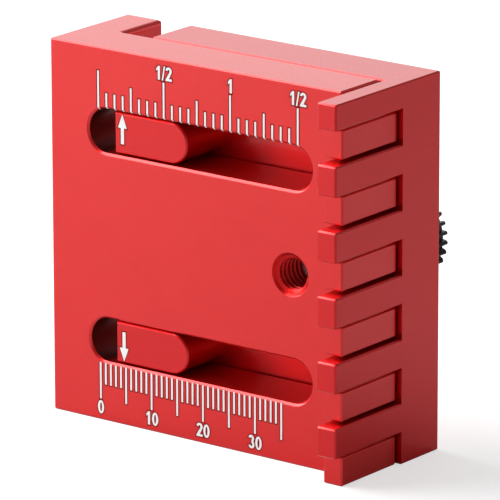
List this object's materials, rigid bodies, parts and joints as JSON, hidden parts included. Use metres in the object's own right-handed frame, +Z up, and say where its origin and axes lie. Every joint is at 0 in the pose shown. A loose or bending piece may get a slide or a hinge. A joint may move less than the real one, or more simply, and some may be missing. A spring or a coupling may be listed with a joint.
{
  "type": "comb slot width gauge",
  "caption": "Pocket slide gauge with interleaved comb jaws, guide slots and a knurled lock screw, read on inch and metric scales to match slot and stock widths.",
  "frame": {"origin": "on the base plane, under the middle of the gauge's bounding box", "axes": "+X to the right, the way the sliding jaw opens; +Y back, from the scale face to the lock knob; +Z up"},
  "size_m": [0.0598, 0.0368, 0.0595],
  "materials": {
    "anodised_red": "satin red anodised over a fine blasted grain, with white laser-marked scales",
    "screw_steel": "bright turned steel",
    "knob_black": "moulded black with straight ridges"
  },
  "bodies": {
    "fixed": {"fixed_jaw": "anodised_red"},
    "slide": {"sliding_jaw": "anodised_red"},
    "clamp": {"lock_washer": "screw_steel"},
    "lock": {"lock_stud": "screw_steel", "lock_knob": "knob_black"}
  },
  "joints": [
    {"name": "jaw_slide", "type": "slide", "parent": "fixed", "child": "slide", "axis": [1, 0, 0], "range_m": [-0.0007, 0.0237]},
    {"name": "lock_travel", "type": "slide", "parent": "fixed", "child": "clamp", "axis": [0, 1, 0], "range_m": [0, 0.002]},
    {"name": "lock_turn", "type": "hinge", "parent": "clamp", "child": "lock", "pos_m": [0.01622, 0.01355, 0.02975], "axis": [0, 1, 0], "range_deg": [0, 720]}
  ],
  "couplings": [
    {"joint": "lock_turn", "follows": "lock_travel", "rad_per_m": 6283.2}
  ]
}
